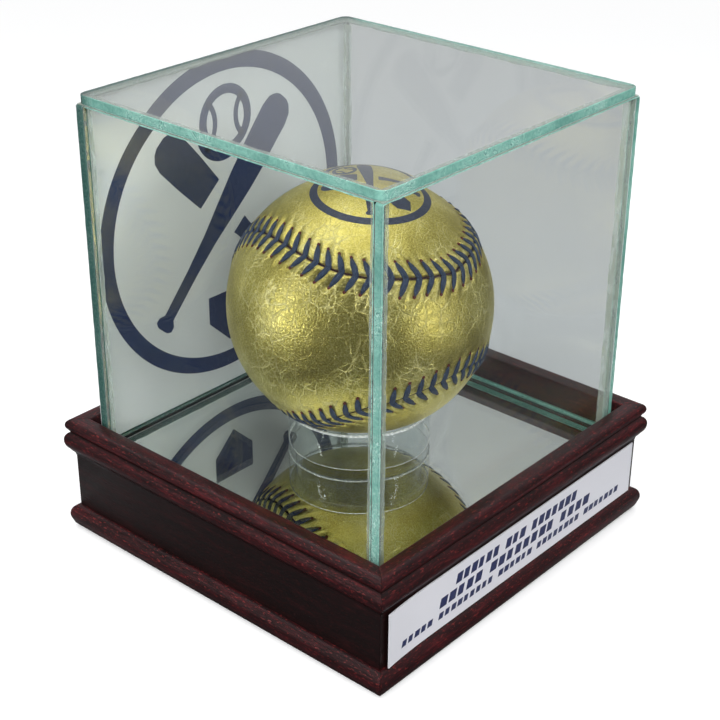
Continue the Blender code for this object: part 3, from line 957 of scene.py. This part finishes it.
def seam_path(count):
    """Points at equal steps along the seam on the unit sphere, and the seam's length there."""
    t = np.linspace(0, 4 * math.pi, 14400, endpoint=False)
    polar = math.pi / 2 - (math.pi / 2 - SEAM_NECK) * np.cos(t)
    swing = t / 2 + SEAM_SWING * np.sin(2 * t)
    fine = np.stack([np.sin(polar) * np.cos(swing), np.sin(polar) * np.sin(swing), np.cos(polar)], 1)
    fine = fine @ np.array(BALL_TURN).T
    steps = np.linalg.norm(np.roll(fine, -1, 0) - fine, axis=1)
    reach = np.concatenate([[0.0], np.cumsum(steps)])
    loop = np.concatenate([fine, fine[:1]])
    at = np.arange(count) * reach[-1] / count
    points = np.stack([np.interp(at, reach, loop[:, k]) for k in range(3)], 1)
    return unit(points), reach[-1]


def seam_frame():
    """Points along the seam on the unit sphere with the ways ahead and across at each."""
    path, _ = seam_path(SEAM_SAMPLES)
    ahead = unit(np.roll(path, -1, 0) - np.roll(path, 1, 0))
    return path, ahead, np.cross(path, ahead)


def seam_place(directions):
    """For unit directions: stitch count along the seam and signed angle across it, radians."""
    path, ahead, across = seam_frame()
    nearest = np.concatenate([np.argmax(part @ path.T, 1)
                              for part in np.array_split(directions, max(1, len(directions) // 4000))])
    side = np.einsum("ij,ij->i", directions, across[nearest])
    offset = np.einsum("ij,ij->i", directions - path[nearest], ahead[nearest])
    step = np.linalg.norm(path[1] - path[0])
    away = np.arccos(np.clip(np.einsum("ij,ij->i", directions, path[nearest]), -1, 1))
    away = np.sqrt(np.maximum(away ** 2 - offset ** 2, 0.0))
    along = (nearest + offset / step) / SEAM_SAMPLES * PITCHES
    return along, np.where(side < 0, -away, away)


def leather_meshes(sizes):
    """Two leather panels: a cube sphere parted along the seam, puckered by its stitches."""
    cells = 116
    ticks = np.tan(np.linspace(-math.pi / 4, math.pi / 4, cells + 1))
    u, v = np.meshgrid(ticks, ticks, indexing="ij")
    one = np.ones_like(u)
    grids = [(one, u, v), (-one, v, u), (v, one, u), (u, -one, v), (u, v, one), (v, u, -one)]
    points = unit(np.concatenate([np.stack([g.ravel() for g in grid], 1) for grid in grids]))
    size = (cells + 1) ** 2
    i, j = np.meshgrid(np.arange(cells), np.arange(cells), indexing="ij")
    corner = (i * (cells + 1) + j).ravel()
    quad = np.stack([corner, corner + cells + 1, corner + cells + 2, corner + 1], 1)
    faces = np.concatenate([quad + k * size for k in range(6)])
    _, first, same = np.unique(np.round(points, 7), axis=0, return_index=True, return_inverse=True)
    points, faces = points[first], same.ravel()[faces]
    _, face_side = seam_place(unit(points[faces].mean(1)))
    path, _, across = seam_frame()
    cot = 1.0 / math.tan(sizes.lean)
    _, round_length = seam_path(8)
    pitch = round_length * BALL_RADIUS / PITCHES / MM
    hole = sizes.stitch_reach * math.sin(sizes.lean) / MM
    meshes = []
    for sign in (1, -1):
        chosen = faces[(face_side > 0) == (sign > 0)]
        used, local = np.unique(chosen, return_inverse=True)
        local = local.reshape(chosen.shape)
        spots = points[used].copy()
        edges = np.sort(np.concatenate([local[:, [k, (k + 1) % 4]] for k in range(4)]), 1)
        pairs, counts = np.unique(edges, axis=0, return_counts=True)
        rim = np.unique(pairs[counts == 1])
        nearest = np.argmax(spots[rim] @ path.T, 1)
        spots[rim] = path[nearest] + sign * across[nearest] * (0.05 * MM / BALL_RADIUS)
        spots = unit(spots)
        along, away = seam_place(spots)
        w = np.abs(away) * BALL_RADIUS / MM
        phase = along + w * cot / pitch
        phase = phase - np.round(phase)
        on_stitch = np.cos(math.pi * phase) ** 2
        rise = np.clip((w - 0.25) / 0.9, 0, 1)
        fall = 1 - np.clip((w - hole + 0.4) / 4.0, 0, 1)
        gather = rise * rise * (3 - 2 * rise) * fall ** 1.6
        height = 0.22 * np.exp(-(((w - 1.1) / 1.1) ** 2))
        height -= 1.0 * np.exp(-((w / 0.22) ** 2))
        height += sizes.pucker / MM * gather * (0.75 - 1.35 * on_stitch ** 1.3)
        height -= 0.30 * np.exp(-(((w - hole) / 0.55) ** 2)) * on_stitch ** 6
        spots *= (BALL_RADIUS + height[:, None] * MM)
        mesh = bpy.data.meshes.new("leather")
        mesh.from_pydata(spots + np.array(BALL_CENTRE), [], local.tolist())
        mesh.update()
        meshes.append(mesh)
    return meshes


class CASE_OT_leather(bpy.types.Operator):
    """Two gold leather panels, drawn together and puckered along the seam"""
    bl_idname = "case.leather"
    bl_label = "Ball leather"

    def execute(self, context):
        sizes = context.scene.case_ball
        for mesh in leather_meshes(sizes):
            body = bmesh.new()
            body.from_mesh(mesh)
            bpy.data.meshes.remove(mesh)
            bmesh.ops.recalc_face_normals(body, faces=body.faces)
            if sum(f.normal.dot(f.calc_center_median() - BALL_CENTRE) for f in body.faces) < 0:
                bmesh.ops.reverse_faces(body, faces=body.faces)
            mesh = to_mesh(body, recalc=False)
            mesh.shade_smooth()
            forward = -sum(v.co.y for v in mesh.vertices) / len(mesh.vertices)
            side = "front" if forward > 0 else "back"
            item = piece("ball_panel_" + side, mesh, "ball", [finish("cowhide_gold_foil", gold_leather)],
                         ["ball_cover_" + side])
            shell = item.modifiers.new("leather", "SOLIDIFY")
            shell.thickness = 0.7 * MM
            shell.offset = -1.0
        return {"FINISHED"}


def stitch_tree():
    """Geometry Nodes tree that lays both arms of a stitch at equal steps along a closed seam."""
    tree = bpy.data.node_groups.new("seam_stitches", "GeometryNodeTree")
    g = Graph(tree)
    sockets = {"Seam": "Geometry", "Count": "Int", "From": "Float", "To": "Float", "Width": "Float",
               "Height": "Float", "Lean": "Float", "Lift": "Float", "Radius": "Float", "Centre": "Vector",
               "Waver": "Float", "Taper": "Float", "Seed": "Int", "Thread": "Material"}
    for name, kind in sockets.items():
        tree.interface.new_socket(name, in_out="INPUT", socket_type="NodeSocket" + kind)
    tree.interface.new_socket("Stitches", in_out="OUTPUT", socket_type="NodeSocketGeometry")
    start = tree.nodes.new("NodeGroupInput")
    given = {name: Value(g, start.outputs[name]) for name in sockets}

    def vector(x=0.0, y=0.0, z=0.0):
        return g.put("ShaderNodeCombineXYZ", {0: x, 1: y, 2: z})

    def position():
        return g.put("GeometryNodeInputPosition")

    def parts():
        """The coordinates of the point that a node works on."""
        apart = g.put("ShaderNodeSeparateXYZ", {0: position()}).socket.node
        return [Value(g, socket) for socket in apart.outputs]

    length_given = given["To"] - given["From"]
    middle = (given["To"] + given["From"]) * 0.5
    grain = g.put("GeometryNodeMeshUVSphere", {"Segments": 8, "Rings": 7, "Radius": 0.5})
    grain = g.put("GeometryNodeTransform", {"Geometry": grain, "Rotation": (0.0, math.pi / 2, 0.0)})
    x, y, z = parts()
    grain = g.put("GeometryNodeStoreNamedAttribute", {"Geometry": grain, "Name": "strand", "Value": y},
                  data_type="FLOAT", domain="POINT")
    # The far end, at -X, is drawn thin; the near end stays blunt.
    taper = x * given["Taper"] + 1.0
    grain = g.put("GeometryNodeSetPosition", {"Geometry": grain, "Position": vector(x, y * taper, z * taper)})
    size = vector(length_given, given["Width"], given["Height"])
    back = g.maths("COSINE", given["Lean"]) * middle * -1.0
    out = g.maths("SINE", given["Lean"]) * middle
    joined = tree.nodes.new("GeometryNodeJoinGeometry")
    for side in (-1.0, 1.0):
        arm = g.put("GeometryNodeTransform", {"Geometry": grain, "Scale": size})
        arm = g.put("GeometryNodeTransform", {"Geometry": arm, "Rotation": vector(z=given["Lean"] * -side),
                                              "Translation": vector(back, out * side, given["Lift"])})
        tree.links.new(arm.socket, joined.inputs[0])
    # Lay the flat stitch on the ball: it drops with the square of its distance from the seam's point.
    x, y, _ = parts()
    drop = (x * x + y * y) / (given["Radius"] * -1.55)
    stitch = g.put("GeometryNodeSetPosition", {"Geometry": Value(g, joined.outputs[0]),
                                               "Offset": vector(z=drop)})
    line = g.put("GeometryNodeMeshToCurve", {"Mesh": given["Seam"]})
    steps = g.put("GeometryNodeResampleCurve", {"Curve": line, "Count": given["Count"]})
    frames = g.put("FunctionNodeAxesToRotation", {0: g.vectors("SUBTRACT", position(), given["Centre"]),
                                                  1: g.put("GeometryNodeInputTangent")},
                   primary_axis="Z", secondary_axis="X")
    chance = g.put("FunctionNodeRandomValue", {"Seed": given["Seed"], 2: -1.0, 3: 1.0}, 1, data_type="FLOAT")
    waver = chance * given["Waver"]
    spin = g.put("FunctionNodeEulerToRotation", {0: vector(z=waver)})
    frames = g.put("FunctionNodeRotateRotation", {0: frames, 1: spin}, rotation_space="LOCAL")
    laid = g.put("GeometryNodeInstanceOnPoints", {"Points": steps, "Instance": stitch, "Rotation": frames,
                                                  "Scale": waver * 0.6 + 1.0})
    solid = g.put("GeometryNodeRealizeInstances", {0: laid})
    painted = g.put("GeometryNodeSetMaterial", {"Geometry": solid, "Material": given["Thread"]})
    g.put("NodeGroupOutput", {0: painted})
    return tree


def lay_stitches(name, tree, values):
    """The stitches along the seam as a plain mesh."""
    path, _ = seam_path(SEAM_SAMPLES)
    mesh = bpy.data.meshes.new(name)
    edges = [(k, (k + 1) % len(path)) for k in range(len(path))]
    mesh.from_pydata(path * BALL_RADIUS + np.array(BALL_CENTRE), edges, [])
    guide = bpy.data.objects.new(name + "_guide", mesh)
    bpy.context.scene.collection.objects.link(guide)
    modifier = guide.modifiers.new("stitches", "NODES")
    modifier.node_group = tree
    for item in tree.interface.items_tree:
        if item.in_out == "INPUT" and item.name in values:
            modifier[item.identifier] = values[item.name]
    bpy.context.view_layer.update()
    worked = guide.evaluated_get(bpy.context.evaluated_depsgraph_get())
    made = bpy.data.meshes.new_from_object(worked)
    bpy.data.objects.remove(guide, do_unlink=True)
    if not len(made.polygons):
        raise RuntimeError("the seam has no stitches")
    made.materials.clear()
    made.shade_smooth()
    return made


class CASE_OT_stitches(bpy.types.Operator):
    """Navy stitches along the seam and the holes they pass through"""
    bl_idname = "case.stitches"
    bl_label = "Ball stitches"

    def execute(self, context):
        sizes = context.scene.case_ball
        tree = stitch_tree()
        navy = finish("waxed_thread_navy", thread, "121A2A", "36455F")
        common = {"Count": sizes.stitches, "Lean": sizes.lean, "Radius": BALL_RADIUS,
                  "Centre": list(BALL_CENTRE), "Seed": 3, "Waver": 0.05}
        arms = {"From": -0.7 * MM, "To": sizes.stitch_reach, "Width": sizes.stitch_width,
                "Height": 1.0 * MM, "Lift": 0.16 * MM, "Taper": 0.6, "Thread": navy}
        piece("ball_stitches", lay_stitches("stitches", tree, common | arms), "ball", [navy])
        # The holes are dark blobs laid on the leather: painted shade inside each awl hole.
        hole = finish("cowhide_cut_hole", punched_hole)
        half = 0.55 * MM
        holes = {"From": sizes.stitch_reach - half, "To": sizes.stitch_reach + half, "Width": 0.95 * MM,
                 "Height": 0.5 * MM, "Lift": 0.0, "Taper": 0.0, "Thread": hole}
        piece("ball_stitch_holes", lay_stitches("holes", tree, common | holes), "ball", [hole])
        # The thread in the seam groove is painted near black red brown, darker than the stitches: painted
        # shade of the groove.
        repaint("ball_seam_thread", finish("waxed_thread_groove_painted_shade", thread, "1E1210", "3A2320"))
        return {"FINISHED"}


class CASE_OT_ball_inside(bpy.types.Operator):
    """Finishes for the yarn winding and the core"""
    bl_idname = "case.ball_inside"
    bl_label = "Ball inside"

    def execute(self, context):
        repaint("ball_winding", finish("wool_yarn_wound", plain, "8D877D", "B9B3A8", 0.9, 0.9, 0.4,
                                       (1.0, 0.3, 1.0)))
        repaint("ball_core", finish("cork_rubber_core", plain, "4A1610", "6B2418", 1.5, 0.75))
        return {"FINISHED"}


# ---------------------------------------------------------------- stage

WHITE = (1.0, 1.0, 1.0, 1.0)
HAZE = "CDCECF"  # what shows through the glass far off
TENT_SIDE, TENT_ROOF = (0.48, 0.49, 0.50, 1.0), (0.82, 0.83, 0.84, 1.0)
TENT_OPENING = (0.03, 0.03, 0.03, 1.0)
OPENING_RISE = 0.10  # height of the middle of the tent's opening, for a level distance of about 0.39
ROOF_BAND = (0.50, 0.78)  # sines of the heights between which the walls turn into the roof
FAR_BAND = (0.25, 0.90)  # metres over which the floor fades
STRIP_DISTANCE = 0.75
LAMP_AIM = (0.0, 0.0, 0.07)


def seen_straight(g):
    """Whether the camera sees the light directly, and whether nothing has reflected or scattered it:
    glass may stand in between."""
    turned = g.path("Glossy Depth") + g.path("Diffuse Depth")
    return g.path("Is Camera Ray"), g.maths("LESS_THAN", turned, 0.5)


def paper_sweep(g, colour, toward):
    """Matt paper sweep: white in direct view. In glass and polish it is grey behind the object, in a
    wedge that widens away from a level direction, and dark on the other sides."""
    seen, straight = seen_straight(g)
    place = g.place
    far = g.remap(g.vectors("LENGTH", place, out="Value"), *FAR_BAND)
    near = g.vectors("DOT_PRODUCT", place, toward, out="Value")
    off = g.vectors("DOT_PRODUCT", place, Vector((-toward.y, toward.x, 0.0)), out="Value")
    matt = g.put("ShaderNodeBsdfDiffuse", {0: colour})
    lit = g.put("ShaderNodeAddShader", {0: matt, 1: g.glow(WHITE, 0.12)})
    white = g.blend(far, lit, g.glow(WHITE, 1.0))
    wedge = g.maths("ABSOLUTE", off) - (0.39 - near) * 0.2
    dark = g.maths("MAXIMUM", g.remap(near, -0.08, 0.06), g.remap(wedge, -0.02, 0.05)) * (1.0 - straight)
    grey = g.put("ShaderNodeBsdfDiffuse", {0: g.mix(dark, linear("C6C8CA"), linear("4A4C4E"))})
    return g.blend(seen, g.blend(far * straight, grey, g.glow(linear(HAZE), 1.0)), white)


def light_tent(g, opening):
    """Bright walls and roof with a dark opening toward a direction; white in direct view and haze
    through glass."""
    way = g.put("ShaderNodeTexCoord", out="Generated")
    facing = g.vectors("DOT_PRODUCT", way, opening, out="Value")
    height = g.put("ShaderNodeSeparateXYZ", {0: way}, 2)
    dark = g.remap(facing, -0.34, 0.18) * g.remap(height, *ROOF_BAND, 1.0, 0.0)
    walls = g.mix(g.remap(height, *ROOF_BAND), TENT_SIDE, TENT_ROOF)
    seen, straight = seen_straight(g)
    colour = g.mix(straight, g.mix(dark, walls, TENT_OPENING), linear(HAZE))
    colour = g.mix(seen, colour, WHITE)
    g.put("ShaderNodeOutputWorld", {0: g.put("ShaderNodeBackground", {0: colour})})


def lamp(name, place, size, power, aim=LAMP_AIM):
    data = bpy.data.lights.new(name, "AREA")
    data.shape = "RECTANGLE"
    data.size, data.size_y = size
    data.energy = power
    item = bpy.data.objects.new(name, data)
    item.location = place
    item.rotation_euler = (Vector(aim) - Vector(place)).to_track_quat("-Z", "Y").to_euler()
    item.visible_camera = False
    bpy.context.scene.collection.objects.link(item)
    return item


def hide_from_panes(data):
    """A flat pane shows no mirror image of this lamp; what stands behind the pane is still lit."""
    data.use_nodes = True
    g = Graph(data.node_tree)
    outside = g.maths("LESS_THAN", g.path("Transmission Depth"), 2.5)
    mirrored = g.maths("GREATER_THAN", g.path("Glossy Depth"), 0.5) * outside
    g.tree.links.new((1.0 - mirrored).socket, g.tree.nodes["Emission"].inputs["Strength"])


class CASE_OT_stage(bpy.types.Operator):
    """Floor, light tent, lamps and camera"""
    bl_idname = "case.stage"
    bl_label = "Stage"

    def execute(self, context):
        sizes = context.scene.case_stage
        scene = context.scene
        eye, target = Vector(sizes.eye), Vector(sizes.target)
        body = bmesh.new()
        bmesh.ops.create_grid(body, x_segments=1, y_segments=1, size=4.0)
        floor = bpy.data.objects.new("floor", to_mesh(body, recalc=False))
        scene.collection.objects.link(floor)
        floor.location = (0.0, 0.0, -0.05 * MM)
        toward = Vector((eye.x, eye.y, 0.0)).normalized()
        floor.data.materials.append(finish("paper_sweep_matt", paper_sweep, sizes.floor_colour, toward))

        back = (eye - target).normalized()
        level = Vector((0.0, 0.0, 1.0)).cross(back).normalized()
        upright = back.cross(level)
        right = level * math.cos(sizes.roll) + upright * math.sin(sizes.roll)
        turn = Matrix((right, back.cross(right), back)).transposed().to_4x4()
        lens = bpy.data.cameras.new("camera")
        lens.lens = sizes.lens
        lens.sensor_width = 36.0
        lens.clip_start = 0.01
        camera = bpy.data.objects.new("camera", lens)
        scene.collection.objects.link(camera)
        camera.matrix_world = Matrix.Translation(eye) @ turn
        scene.camera = camera

        world = bpy.data.worlds.new("light_tent")
        scene.world = world
        world.use_nodes = True
        world.node_tree.nodes.clear()
        light_tent(Graph(world.node_tree), Vector((eye.x, eye.y, OPENING_RISE)).normalized())

        lamp("overhead", (-0.1, 0.1, 1.0), (0.9, 0.9), 3.6, (0.0, 0.0, 0.05))
        for name, degrees in (("strip_left", 158.0), ("strip_right", 279.0)):
            x = STRIP_DISTANCE * math.cos(math.radians(degrees))
            y = STRIP_DISTANCE * math.sin(math.radians(degrees))
            hide_from_panes(lamp(name, (x, y, 0.10), (0.18, 0.20), 1.0).data)
            lamp(name + "_high", (x, y, 0.46), (0.05, 0.26), 0.35)
        fill = lamp("fill", (-0.55, -0.48, 0.42), (0.5, 0.5), 6.2)
        fill.visible_glossy = False
        fill.visible_transmission = False
        scene.view_settings.view_transform = "Standard"
        return {"FINISHED"}


class CASE_PT_panel(bpy.types.Panel):
    """Lists the operators that make the display case"""
    bl_idname = "CASE_PT_panel"
    bl_label = "Display case"
    bl_space_type = "VIEW_3D"
    bl_region_type = "UI"
    bl_category = "Display case"

    def draw(self, context):
        for group in GROUPS:
            box = self.layout.box()
            sizes = getattr(context.scene, group)
            for name in sizes.bl_rna.properties.keys():
                if name not in ("rna_type", "name"):
                    box.prop(sizes, name)
        for operator in OPERATORS:
            self.layout.operator(operator.bl_idname)


OPERATORS = (
    CASE_OT_rails, CASE_OT_base_inside, CASE_OT_mirror, CASE_OT_label, CASE_OT_panes, CASE_OT_silicone,
    CASE_OT_card, CASE_OT_ring, CASE_OT_leather, CASE_OT_stitches, CASE_OT_ball_mark, CASE_OT_ball_inside,
    CASE_OT_stage,
)
CLASSES = (*GROUPS.values(), *OPERATORS, CASE_PT_panel)


def register():
    for item in CLASSES:
        bpy.utils.register_class(item)
    for name, group in GROUPS.items():
        setattr(bpy.types.Scene, name, PointerProperty(type=group))


def unregister():
    for name in GROUPS:
        delattr(bpy.types.Scene, name)
    for item in reversed(CLASSES):
        bpy.utils.unregister_class(item)


def main():
    register()
    for operator in OPERATORS:
        group, name = operator.bl_idname.split(".")
        getattr(getattr(bpy.ops, group), name)()


if __name__ == "__main__":
    main()
